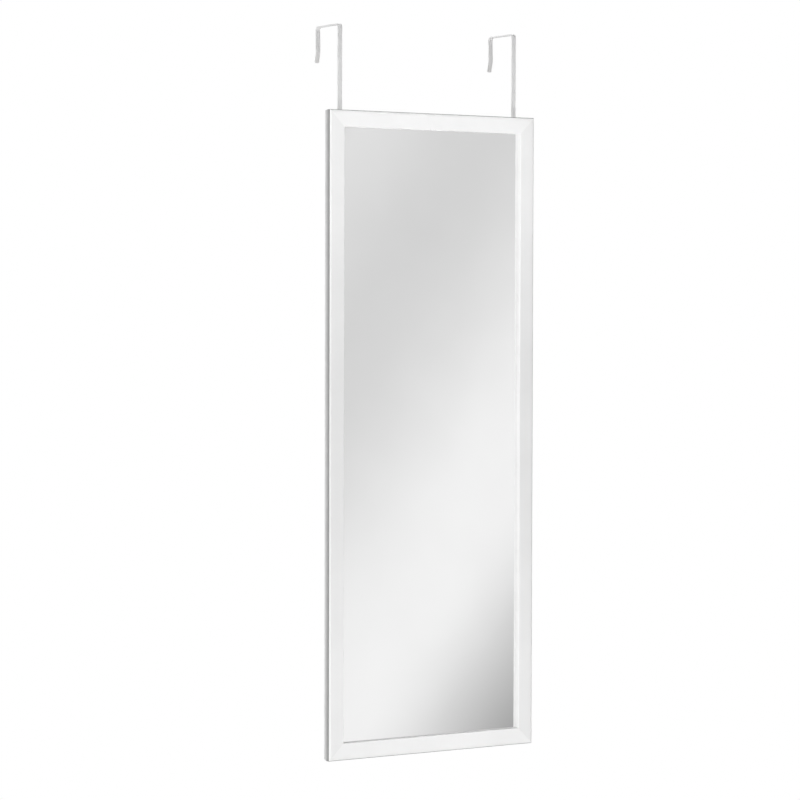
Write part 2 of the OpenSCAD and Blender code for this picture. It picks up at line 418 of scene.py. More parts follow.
@dataclass(frozen=True)
class PackingCard(Finish):
    """Unbleached packing card: matt, buff, and flecked with short fibres."""

    name: str = "packing_card"
    light: str = "#C9B08C"
    shade: str = "#B79C77"
    tone: Grain = Grain((0.8, 0.8, 2.2), 4.0)
    texture: Grain = Grain((0.8, 0.8, 2.2), 4.0)
    gloss: Pair = (0.8, 0.92)
    relief: float = 0.04


@dataclass(frozen=True)
class BumperRubber(Finish):
    """Moulded grey rubber: matt, slightly dusty, with the pitted skin that an open mould leaves."""

    name: str = "moulded_grey_rubber"
    light: str = "#5A5B5D"
    shade: str = "#4A4B4D"
    tone: Grain = even(2.5, 4.0)
    texture: Grain = even(0.5, 1.0)
    gloss: Pair = (0.6, 0.75)
    relief: float = 0.03


# ---- work on a mesh


def soften(bm: BMesh, edges: Iterable[BMEdge], width: float, segments: int = 2) -> None:
    """Rounds edges over.

    Args:
        bm: the mesh.
        edges: the edges to round.
        width: how far the round reaches from each edge.
        segments: how many flats it has.
    """
    bmesh.ops.bevel(
        bm,
        geom=list(edges),
        offset=width,
        affect="EDGES",
        segments=segments,
        profile=0.5,
        material=-1,
        clamp_overlap=True,
    )


def sharp_edges(bm: BMesh) -> list[BMEdge]:
    """Returns the edges where two faces meet at a sharp angle."""
    return [edge for edge in bm.edges if edge.is_manifold and edge.calc_face_angle() > SHARP]


def extrude(bm: BMesh, face: BMFace, by: Triple | Vector) -> BMFace:
    """Draws a face out in a straight line. The face stays: it closes the near end, or lies inside a strap.

    Args:
        bm: the mesh.
        face: the face that is drawn out.
        by: how far it goes.

    Returns:
        The face at the far end.
    """
    made = bmesh.ops.extrude_face_region(bm, geom=[face])["geom"]
    bmesh.ops.translate(bm, vec=by, verts=[v for v in made if isinstance(v, BMVert)])
    return next(f for f in made if isinstance(f, BMFace))


def swing(
    bm: BMesh, face: BMFace, centre: Vector, axis: Vector, angle: float, steps: int, rise: float = 0.0
) -> BMFace:
    """Draws a face round an axis, as a bend or a helix.

    Args:
        bm: the mesh.
        face: the face that is drawn out.
        centre: a point on the axis.
        axis: the axis that it turns about.
        angle: how far it turns.
        steps: how many flats it has.
        rise: how far it goes along the axis at each step.

    Returns:
        The face at the far end.
    """
    geom = [face, *face.edges, *face.verts]
    made = bmesh.ops.spin(bm, geom=geom, cent=centre, axis=axis, dvec=rise * axis, angle=angle, steps=steps)
    return next(f for f in made["geom_last"] if isinstance(f, BMFace))


def arc_from(
    bm: BMesh, start: Vector, centre: Vector, axis: Vector, angle: float, steps: int
) -> list[BMVert]:
    """Draws an arc as a chain of edges.

    Args:
        bm: the mesh.
        start: the arc's first point.
        centre: its centre.
        axis: the axis that it turns about.
        angle: how far it turns.
        steps: how many edges it has.

    Returns:
        Its vertices in order.
    """
    chain = [bm.verts.new(start)]
    bmesh.ops.spin(bm, geom=chain[:], cent=centre, axis=axis, angle=angle, steps=steps)
    while len(chain) <= steps:
        chain.append(next(v for e in chain[-1].link_edges for v in e.verts if v not in chain))
    return chain


def close_outline(bm: BMesh, outline: list[BMVert]) -> BMFace:
    """Joins vertices into a closed outline and fills it.

    Args:
        bm: the mesh.
        outline: the vertices in order, some of them joined already.

    Returns:
        The face.
    """
    for here, there in zip(outline, outline[1:] + outline[:1]):
        if bm.edges.get((here, there)) is None:
            bm.edges.new((here, there))
    return bm.faces.new(outline)


def turned(profile: list[Pair]) -> BMesh:
    """Turns a profile on a lathe, about Z.

    Args:
        profile: its points as radius and height, from pole to pole, or right round a ring's section.

    Returns:
        The closed mesh.
    """
    bm = bmesh.new()
    chain = [bm.verts.new((radius, 0, height)) for radius, height in profile]
    edges = [bm.edges.new(pair) for pair in zip(chain, chain[1:])]
    if profile[0][0] > 0:
        edges.append(bm.edges.new((chain[-1], chain[0])))
    geom = [*chain, *edges]
    bmesh.ops.spin(bm, geom=geom, axis=Z_AXIS, angle=FULL_TURN, steps=LATHE_STEPS, use_merge=True)
    bmesh.ops.remove_doubles(bm, verts=bm.verts[:], dist=WELD)
    bmesh.ops.recalc_face_normals(bm, faces=bm.faces[:])
    return bm


def to_mesh(name: str, bm: BMesh) -> Mesh:
    """Turns a bmesh, which is used up, into a mesh."""
    mesh = bpy.data.meshes.new(name)
    bm.to_mesh(mesh)
    bm.free()
    return mesh


def stand(name: str, data: ID) -> Object:
    """Puts an object with this data in the scene."""
    made = bpy.data.objects.new(name, data)
    bpy.context.scene.collection.objects.link(made)
    return made


def joined(parts: Iterable[tuple[BMesh, Matrix]]) -> BMesh:
    """Puts several meshes into one, each in its place.

    Args:
        parts: each mesh and the matrix that places it. The meshes are used up.

    Returns:
        The whole mesh.
    """
    whole = bmesh.new()
    for part, place in parts:
        bmesh.ops.transform(part, matrix=place, verts=part.verts[:])
        carrier = to_mesh("part", part)
        whole.from_mesh(carrier)
        bpy.data.meshes.remove(carrier)
    return whole


def cut_away(body: BMesh, tool: BMesh) -> BMesh:
    """Cuts one closed mesh out of another. Both are used up.

    Args:
        body: what is cut.
        tool: what is taken away.

    Returns:
        The mesh that is left.
    """
    objects = []
    for name, bm in (("cut_body", body), ("cut_tool", tool)):
        bmesh.ops.recalc_face_normals(bm, faces=bm.faces[:])
        objects.append(stand(name, to_mesh(name, bm)))
    cut = objects[0].modifiers.new("cut", "BOOLEAN")
    cut.operation, cut.solver, cut.object = "DIFFERENCE", "EXACT", objects[1]
    result = bmesh.new()
    result.from_mesh(objects[0].evaluated_get(bpy.context.evaluated_depsgraph_get()).to_mesh())
    for spent in objects:
        bpy.data.meshes.remove(spent.data)
    bmesh.ops.remove_doubles(result, verts=result.verts[:], dist=WELD)
    return result


def node_box(node: str) -> tuple[Vector, Vector]:
    """Returns a solid's lowest and highest corners in millimetres."""
    low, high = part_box(node)
    return Vector(low) / MM, Vector(high) / MM


def block_of(node: str) -> BMesh:
    """Makes a block that fills a sheet's solid.

    Args:
        node: the solid.

    Returns:
        The closed mesh.
    """
    low, high = node_box(node)
    bm = bmesh.new()
    place = Matrix.LocRotScale((low + high) / 2, None, high - low)
    bmesh.ops.create_cube(bm, size=1.0, matrix=place)
    return bm


def make_piece(name: str, bm: BMesh, finishes: list[Material], body: str, node: str) -> None:
    """Turns a mesh in millimetres into a finished piece that stands for a solid.

    Args:
        name: the piece's name.
        bm: its mesh, which is used up.
        finishes: its materials, in the order of its faces' numbers.
        body: the body that it rides on.
        node: the solid that it stands for.
    """
    bmesh.ops.scale(bm, vec=(MM, MM, MM), verts=bm.verts[:])
    bmesh.ops.recalc_face_normals(bm, faces=bm.faces[:])
    mesh = to_mesh(name, bm)
    mesh.shade_smooth()
    for finish in finishes:
        mesh.materials.append(finish)
    piece = stand(name, mesh)
    piece.modifiers.new("flat_faces_stay_flat", "WEIGHTED_NORMAL")
    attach(piece, body)
    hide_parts(node)
    LOG.info("%s: %d faces, on %s", name, len(mesh.polygons), body)


# ---- the framed panel


@dataclass(frozen=True)
class Moulding:
    """The moulding's section: x runs in from the outer edge and y runs back from the face."""

    width: float = 28.0
    depth: float = 18.0
    edge_round_w: float = 4.8
    edge_round_r: float = 8.0
    side_flat: float = 8.0
    side_taper: float = 1.5
    sight_depth: float = 8.0
    lip: float = 6.0
    sight_round: float = 1.0
    side_round: float = 3.0
    arris: float = 0.3
    # At most: the rounds leave a strip of no width, so the clamp mostly takes it down to almost nothing
    mitre_line: float = 0.25
    edge_steps: int = 8
    sight_steps: int = 5
    side_steps: int = 4
    waste: float = 6.0

    @property
    def rabbet(self) -> float:
        """Distance of the rabbet's wall from the outer edge."""
        return self.width - self.lip

    def section(self, bm: BMesh) -> BMFace:
        """Draws the section.

        Args:
            bm: the mesh that gets it.

        Returns:
            The face, square to Z.
        """
        z = -self.waste
        sweep = math.asin(self.edge_round_w / self.edge_round_r)
        start = Vector((self.edge_round_w, 0, z))
        centre = Vector((self.edge_round_w, self.edge_round_r, z))
        outline = arc_from(bm, start, centre, Z_AXIS, -sweep, self.edge_steps)
        corners = [(0, self.side_flat), (self.side_taper, self.depth), (self.rabbet, self.depth)]
        corners += [(self.rabbet, self.sight_depth), (self.width, self.sight_depth), (self.width, 0)]
        outline += [bm.verts.new((x, y, z)) for x, y in corners]
        return close_outline(bm, outline)

    def length(self, outer: float, lean: float) -> BMesh:
        """Makes one mitred length along Z.

        Args:
            outer: its length along the outer edge.
            lean: how far the round turns from the face before the side's painted shade starts.

        Returns:
            The mesh, with softened arrises and at most a hairline at each mitre.
        """
        bm = bmesh.new()
        extrude(bm, self.section(bm), (0, 0, outer + 2 * self.waste))
        bmesh.ops.recalc_face_normals(bm, faces=bm.faces[:])
        runs = [e for e in sharp_edges(bm) if abs(e.verts[0].co.z - e.verts[1].co.z) > outer]
        faced = [e for e in runs if e.verts[0].co.y < self.side_flat / 2]
        sight = [e for e in faced if e.verts[0].co.x > self.rabbet]
        soften(bm, sight, self.sight_round, self.sight_steps)
        side = [e for e in faced if e.is_valid and e.verts[0].co.x < self.lip]
        soften(bm, side, self.side_round, self.side_steps)
        soften(bm, [e for e in runs if e.is_valid], self.arris)
        for face in bm.faces:
            # Faces turned outwards past the lean take the second finish, which is painted shade
            face.material_index = int(face.normal.x < -math.sin(lean))
        for height, tilt in ((0, -1), (outer, 1)):
            whole = [*bm.verts, *bm.edges, *bm.faces]
            plane = {"plane_co": (0, 0, height), "plane_no": (1, 0, tilt)}
            cut = bmesh.ops.bisect_plane(bm, geom=whole, dist=WELD, clear_outer=True, **plane)
            rim = [e for e in cut["geom_cut"] if isinstance(e, BMEdge)]
            caps = bmesh.ops.contextual_create(bm, geom=rim)["faces"]
            soften(bm, [e for cap in caps for e in cap.edges], self.mitre_line, 1)
        return bm


@dataclass(frozen=True)
class MitredFrame:
    """Four lengths of moulding, mitred at the corners and nailed from behind."""

    moulding: Moulding = Moulding()
    # The rails are painted a little whiter than the stiles: painted light for the light that they catch
    rail_light_painted_lighter: str = "#FAFAFA"
    rail_shade_painted_lighter: str = "#F6F6F6"
    # The painted shade starts where the round has turned this far from the face, and shows a little less on
    # the left
    painted_shade_lean: float = math.radians(28)
    left_painted_shade_lean: float = math.radians(31)
    nail_leg: float = 5.0
    nail_t: float = 0.6
    nail_arris: float = 0.08
    nail_first: float = 6.0
    nail_pitch: float = 7.0
    nail_proud: float = 0.1

    def build(self) -> None:
        """Makes the four members and the corner nails."""
        low, _ = node_box("left_stile")
        _, high = node_box("right_stile")
        upright = SatinMoulding.along(Draw.UPRIGHT).material()
        level = SatinMoulding.along(Draw.LEVEL, light=self.rail_light_painted_lighter, shade=self.rail_shade_painted_lighter).material()
        # The outer sides' finish, which carries the painted shade
        side = MouldingSidePaintedShade().material()
        along = Matrix.Rotation(math.pi / 2, 4, "Y")
        flip_x = Matrix.Scale(-1, 4, (1, 0, 0))
        flip_z = Matrix.Scale(-1, 4, (0, 0, 1))
        foot = Matrix.Translation(low)
        head = Matrix.Translation((low.x, low.y, high.z))
        members = {
            "left_stile": (high.z - low.z, foot, upright, self.left_painted_shade_lean),
            "right_stile": (high.z - low.z, flip_x @ foot, upright, self.painted_shade_lean),
            "top_rail": (high.x - low.x, head @ along, level, self.painted_shade_lean),
            "bottom_rail": (high.x - low.x, foot @ flip_z @ along, level, self.painted_shade_lean),
        }
        for node, (outer, place, finish, lean) in members.items():
            bm = self.moulding.length(outer, lean)
            bmesh.ops.transform(bm, matrix=place, verts=bm.verts[:])
            make_piece(f"{node}_moulding", bm, [finish, side], "panel", node)
        self.nails()

    def nail(self, depth: float) -> BMesh:
        """Bends one nail from strip, with a leg along X and a leg along Z.

        Args:
            depth: how deep it is driven.

        Returns:
            The mesh, with its spine on the mitre at the origin.
        """
        leg, t = self.nail_leg, self.nail_t
        bm = bmesh.new()
        outline = [(0, 0), (leg, 0), (leg, t), (t, t), (t, leg), (0, leg)]
        extrude(bm, close_outline(bm, [bm.verts.new((x, 0, z)) for x, z in outline]), (0, -depth, 0))
        soften(bm, sharp_edges(bm), self.nail_arris, 1)
        return bm

    def nails(self) -> None:
        """Makes the corner nails, two across each mitre, a hair proud of the back."""
        low, high = node_box("corner_nails")
        foot, head = node_box("right_stile")
        parts = []
        for side in (-1, 1):
            for end, height in ((1, head.z), (-1, foot.z)):
                corner = Matrix.Translation((side * head.x, high.y + self.nail_proud, height))
                inward = Matrix.Diagonal((-side, 1, -end, 1))
                for step in (0, 1):
                    inset = self.nail_first + step * self.nail_pitch
                    place = corner @ inward @ Matrix.Translation((inset, 0, inset))
                    parts.append((self.nail(high.y - low.y), place))
        strip = RolledStrip().material()
        make_piece("corner_nail_set", joined(parts), [strip], "panel", "corner_nails")


@dataclass(frozen=True)
class Glazing:
    """What the rabbet holds: the silvered glass, its packing, the hardboard back and the bent points."""

    glass_arris: float = 0.5
    card_arris: float = 0.1
    board_arris: float = 0.35
    point_w: float = 9.0
    point_bite: float = 4.5
    point_arris: float = 0.09
    nose_steps: int = 12
    side_points: int = 7
    rail_points: int = 3

    def build(self) -> None:
        """Makes the glass, the packing, the board and the rows of points."""
        self.glass()
        self.sheet("packing_sheet", self.card_arris, PackingCard())
        self.sheet("backing_board", self.board_arris, Hardboard())
        steel = RolledStrip().material()
        for word, count, angle in (
            ("left", self.side_points, 0.0),
            ("bottom", self.rail_points, -math.pi / 2),
            ("right", self.side_points, math.pi),
            ("top", self.rail_points, math.pi / 2),
        ):
            self.point_row(word, count, angle, steel)

    def glass(self) -> None:
        """Makes the glass: a mirror from the front, painted behind and ground along its front edges."""
        bm = block_of("mirror_glass")
        front = min(v.co.y for v in bm.verts)
        rim = [e for e in bm.edges if all(v.co.y < front + NEAR for v in e.verts)]
        soften(bm, rim, self.glass_arris, 1)
        bm.normal_update()
        for face in bm.faces:
            face.material_index = 0 if face.normal.y < -NEAR else 1
        finishes = [SilveredGlass().material(), BackingPaint().material()]
        make_piece("silvered_glass", bm, finishes, "panel", "mirror_glass")

    def sheet(self, node: str, arris: float, finish: Finish) -> None:
        """Makes a sheet with its edges eased.

        Args:
            node: the solid that it stands for.
            arris: how far its edges are eased.
            finish: its finish.
        """
        bm = block_of(node)
        soften(bm, bm.edges[:], arris)
        make_piece(f"{finish.name}_sheet", bm, [finish.material()], "panel", node)

    def point(self, reach: float, thickness: float) -> BMesh:
        """Stamps one point: a sharp end for the moulding and a round end for the board.

        Args:
            reach: how far it lies over the board.
            thickness: its thickness.

        Returns:
            The mesh: x runs in over the board and y runs back.
        """
        bm = bmesh.new()
        half = self.point_w / 2
        nose = Vector((reach - half, 0, 0))
        outline = arc_from(bm, nose - half * Z_AXIS, nose, Y_AXIS, -math.pi, self.nose_steps)
        tail = [(-self.point_bite / 2, half), (-self.point_bite, 0), (-self.point_bite / 2, -half)]
        outline += [bm.verts.new((x, 0, z)) for x, z in tail]
        extrude(bm, close_outline(bm, outline), (0, thickness, 0))
        bmesh.ops.recalc_face_normals(bm, faces=bm.faces[:])
        soften(bm, sharp_edges(bm), self.point_arris, 1)
        return bm

    def point_row(self, word: str, count: int, angle: float, steel: Material) -> None:
        """Makes the points along one side of the back.

        Args:
            word: the side.
            count: how many points it has.
            angle: the turn about Y that brings the left side's row to this side.
            steel: their finish.
        """
        node = f"back_points_{word}"
        low, high = node_box(node)
        foot, head = node_box("left_stile")
        middle = (foot.z + head.z) / 2
        turn = Matrix.Rotation(angle, 4, "Y")
        corners = [turn.inverted() @ (corner - Vector((0, 0, middle))) for corner in (low, high)]
        wall = min(corner.x for corner in corners) + self.point_bite
        reach = max(corner.x for corner in corners) - wall
        span = abs(corners[1].z - corners[0].z) - self.point_w
        centre = Matrix.Translation((0, low.y, middle)) @ turn
        row = []
        for step in range(count):
            along = (step / (count - 1) - 0.5) * span
            row.append((self.point(reach, high.y - low.y), centre @ Matrix.Translation((wall, 0, along))))
        make_piece(f"steel_points_{word}", joined(row), [steel], "panel", node)


@dataclass(frozen=True)
class Bumpers:
    """The rubber bumpers that hold the bottom of the frame off the door."""

    edge_round: float = 1.5
    edge_steps: int = 6
    dish: float = 0.3
    dish_share: float = 0.75

    def build(self) -> None:
        """Makes both bumpers."""
        rubber = BumperRubber().material()
        for node in ("bumper_left", "bumper_right"):
            low, high = node_box(node)
            height, radius = high.y - low.y, (high.x - low.x) / 2
            ring = (radius - self.edge_round) * self.dish_share
            profile = [(0, 0), (radius, 0), (radius, height), (ring, height)]
            profile += [(ring - self.dish, height - self.dish), (0, height - self.dish)]
            bm = turned(profile)
            rim = [e for e in sharp_edges(bm) if all(v.co.xy.length > radius - NEAR for v in e.verts)]
            soften(bm, [e for e in rim if e.verts[0].co.z > height / 2], self.edge_round, self.edge_steps)
            spot = Matrix.Translation(((low.x + high.x) / 2, low.y, (low.z + high.z) / 2))
            bmesh.ops.transform(bm, matrix=spot @ TO_BACK, verts=bm.verts[:])
            make_piece(f"{node}_pad", bm, [rubber], "panel", node)


# ---- the hooks


@dataclass(frozen=True)
class StrapHook:
    """A bent strap: slotted leg, riser, span over the door, and a lip that ends in a turned-out flare."""

    thickness: float = 2.0
    bend_r: float = 4.0
    gap: float = 68.0
    lip_drop: float = 60.0
    lip_lean: float = math.radians(1.5)
    flare_length: float = 17.0
    flare_angle: float = math.radians(14)
    flare_r: float = 8.0
    corner_r: float = 2.0
    corner_steps: int = 6
    edge: float = 0.35
    slot_r: float = 2.1
    slot_length: float = 54.0
    slot_steps: int = 16
    bend_steps: int = 14

    def strap(self, low: Vector, high: Vector) -> BMesh:
        """Bends the strap as a maker does, up from its leg.

        Args:
            low: the hook's lowest corner.
            high: its highest corner.

        Returns:
            The closed mesh, before its slot is cut.
        """
        t, r = self.thickness, self.bend_r
        middle, width = (low.x + high.x) / 2, high.x - low.x
        bm = bmesh.new()
        place = Matrix.LocRotScale((middle, low.y + t / 2, low.z), None, (width, t, 1))
        bmesh.ops.create_grid(bm, x_segments=1, y_segments=1, size=0.5, matrix=place)
        foot = bm.faces[:][0]
        foot_corners = list(foot.verts)
        front_bend = Vector((middle, low.y + t + r, high.z - t - r))
        rear_bend = front_bend + Vector((0, self.gap - 2 * r, 0))
        lip_run = Vector((0, -math.sin(self.lip_lean), -math.cos(self.lip_lean)))
        lip_side = Vector((0, math.cos(self.lip_lean), -math.sin(self.lip_lean)))
        flare_run = Vector((0, math.sin(self.flare_angle), -math.cos(self.flare_angle)))
        flare_drop = (self.flare_r + t) * flare_run.y - self.flare_length * flare_run.z
        offset = (r + t + self.flare_r) * lip_side
        straight = (high.z - self.lip_drop + flare_drop - rear_bend.z - offset.z) / lip_run.z
        flare_bend = rear_bend + offset + straight * lip_run
        end = extrude(bm, foot, (0, 0, front_bend.z - low.z))
        end = swing(bm, end, front_bend, X_AXIS, -math.pi / 2, self.bend_steps)
        end = extrude(bm, end, rear_bend - front_bend)
        end = swing(bm, end, rear_bend, X_AXIS, -math.pi / 2 - self.lip_lean, self.bend_steps)
        end = extrude(bm, end, straight * lip_run)
        end = swing(bm, end, flare_bend, X_AXIS, self.lip_lean + self.flare_angle, self.bend_steps // 2)
        end = extrude(bm, end, self.flare_length * flare_run)
        for corners in (foot_corners, list(end.verts)):
            rim = [e for e in bm.edges if all(v in corners for v in e.verts)]
            thin = [e for e in rim if e.calc_length() < (width + t) / 2]
            soften(bm, thin, self.corner_r, self.corner_steps)
        return bm

    def slot_tool(self, low: Vector, high: Vector) -> BMesh:
        """Makes the tool that cuts the slot, as far from the strap's end as from its edges.

        Args:
            low: the hook's lowest corner.
            high: its highest corner.

        Returns:
            The closed mesh.
        """
        x, y, r = (low.x + high.x) / 2, low.y - self.thickness, self.slot_r
        foot = low.z + (high.x - low.x) / 2 + r
        bm = bmesh.new()
        outline = []
        for height, side in ((foot + self.slot_length, 1), (foot, -1)):
            centre = Vector((x, y, height))
            start = centre + Vector((side * r, 0, 0))
            outline += arc_from(bm, start, centre, Y_AXIS, -math.pi, self.slot_steps)
        extrude(bm, close_outline(bm, outline), (0, 3 * self.thickness, 0))
        return bm

    def build(self) -> None:
        """Makes both hooks."""
        coat = PowderCoat().material()
        for node in ("hook_left", "hook_right"):
            low, high = node_box(node)
            bm = cut_away(self.strap(low, high), self.slot_tool(low, high))
            soften(bm, sharp_edges(bm), self.edge)
            make_piece(f"{node}_strap", bm, [coat], node, node)


@dataclass(frozen=True)
class HookFixings:
    """The two cross-headed screws and the washers that clamp each hook."""

    pitch: float = 9.0
    washer_hole: float = 3.9
    washer_arris: float = 0.12
    shank_d: float = 3.5
    head_h: float = 2.2
    head_arris: float = 0.1
    dome_share: float = 0.75
    dome_steps: int = 8
    neck: float = 0.25
    tip: float = 3.0
    point_r: float = 0.15
    point_h: float = 0.2
    cross_w: float = 0.9
    cross_len: float = 3.8
    cross_depth: float = 1.3
    cross_draft: float = 0.5
    punch_above: float = 0.5
    thread_pitch: float = 1.25
    thread_depth: float = 0.45
    thread_foot_share: float = 0.32
    thread_crest: float = 0.04
    thread_sunk: float = 0.1
    thread_start: float = 1.4
    thread_end: float = 0.2
    thread_steps: int = 20

    def screw(self, head_d: float, length: float) -> BMesh:
        """Makes one screw along Z: its head up from z = 0 and its thread below.

        Args:
            head_d: its head's diameter.
            length: its length below the head.

        Returns:
            The mesh.
        """
        rim, core, neck = head_d / 2, self.shank_d / 2 - self.thread_depth, self.neck
        dome = self.head_h * self.dome_share
        profile = [(0, self.head_h)]
        for step in range(self.dome_steps + 1):
            angle = math.pi / 2 * (1 - step / self.dome_steps)
            across, up = dome * math.cos(angle), dome * math.sin(angle)
            profile.append((rim - dome + across, self.head_h - dome + up))
        profile += [(rim, self.head_arris), (rim - self.head_arris, 0), (core + neck, 0), (core, -neck)]
        profile += [(core, self.tip - length), (self.point_r, self.point_h - length), (0, -length)]
        head = cut_away(turned(profile), self.cross_tool())
        return joined([(head, IN_PLACE), (self.thread(core, length), IN_PLACE)])

    def cross_tool(self) -> BMesh:
        """Makes the punch that presses the cross into a head, narrower as it goes down.

        Returns:
            The closed mesh.
        """
        w, reach = self.cross_w / 2, self.cross_len / 2
        outline = []
        for turn in range(4):
            quarter = Matrix.Rotation(turn * math.pi / 2, 2)
            outline += [quarter @ Vector(point) for point in ((w, w), (w, reach), (-w, reach))]
        bm = bmesh.new()
        top = self.head_h + self.punch_above
        mouth = close_outline(bm, [bm.verts.new((p.x, p.y, top)) for p in outline])
        floor = extrude(bm, mouth, (0, 0, -self.cross_depth - self.punch_above))
        bmesh.ops.scale(bm, vec=(self.cross_draft, self.cross_draft, 1), verts=floor.verts[:])
        return bm

    def thread(self, core: float, length: float) -> BMesh:
        """Winds the thread's ridge down the shank to the tip.

        Args:
            core: the shank's radius under the thread.
            length: the screw's length below its head.

        Returns:
            The closed ridge.
        """
        root, foot = core - self.thread_sunk, self.thread_pitch * self.thread_foot_share
        crest, tip = core + self.thread_depth, self.thread_crest
        bm = bmesh.new()
        points = [(root, foot), (crest, tip), (crest, -tip), (root, -foot)]
        section = close_outline(bm, [bm.verts.new((x, 0, z - self.thread_start)) for x, z in points])
        turns = (length - self.tip - self.thread_start - self.thread_end) / self.thread_pitch
        steps = int(turns * self.thread_steps)
        swing(bm, section, Vector(), Z_AXIS, turns * FULL_TURN, steps, -turns * self.thread_pitch / steps)
        return bm

    def washer(self, outer_d: float, thickness: float) -> BMesh:
        """Stamps one washer, flat on z = 0, with its edges eased.

        Args:
            outer_d: its outer diameter.
            thickness: its thickness.

        Returns:
            The mesh.
        """
        inner, outer = self.washer_hole / 2, outer_d / 2
        bm = turned([(inner, 0), (outer, 0), (outer, thickness), (inner, thickness)])
        soften(bm, sharp_edges(bm), self.washer_arris)
        return bm

    def build(self) -> None:
        """Makes the screws and washers of both hooks."""
        zinc = ZincPlate().material()
        for side in ("left", "right"):
            washers, screws = f"hook_washers_{side}", f"hook_screws_{side}"
            for node in (washers, screws):
                low, high = node_box(node)
                seat = high.y - self.head_h if node == screws else low.y
                pair = []
                for end in (-1, 1):
                    spot = Vector(((low.x + high.x) / 2, seat, (low.z + high.z + end * self.pitch) / 2))
                    if node == screws:
                        part = self.screw(high.x - low.x, seat - low.y)
                    else:
                        part = self.washer(high.x - low.x, high.y - low.y)
                    pair.append((part, Matrix.Translation(spot) @ TO_BACK))
                make_piece(f"zinc_{node}", joined(pair), [zinc], "panel", node)


# ---- the studio


@dataclass(frozen=True)
class Softbox:
    """One soft lamp: where it stands and what it looks at, in metres, and its size and power."""

    name: str
    place: Triple
    aim: Triple
    size: Pair
    power: float

    def build(self) -> None:
        """Hangs the lamp, out of sight of the camera and the glass."""
        data = bpy.data.lights.new(self.name, "AREA")
        data.shape = "RECTANGLE"
        data.size, data.size_y = self.size
        data.energy = self.power
        lamp = stand(self.name, data)
        lamp.location = self.place
        lamp.rotation_euler = (Vector(self.aim) - Vector(self.place)).to_track_quat("-Z", "Y").to_euler()
        lamp.visible_camera = False
        lamp.visible_glossy = False


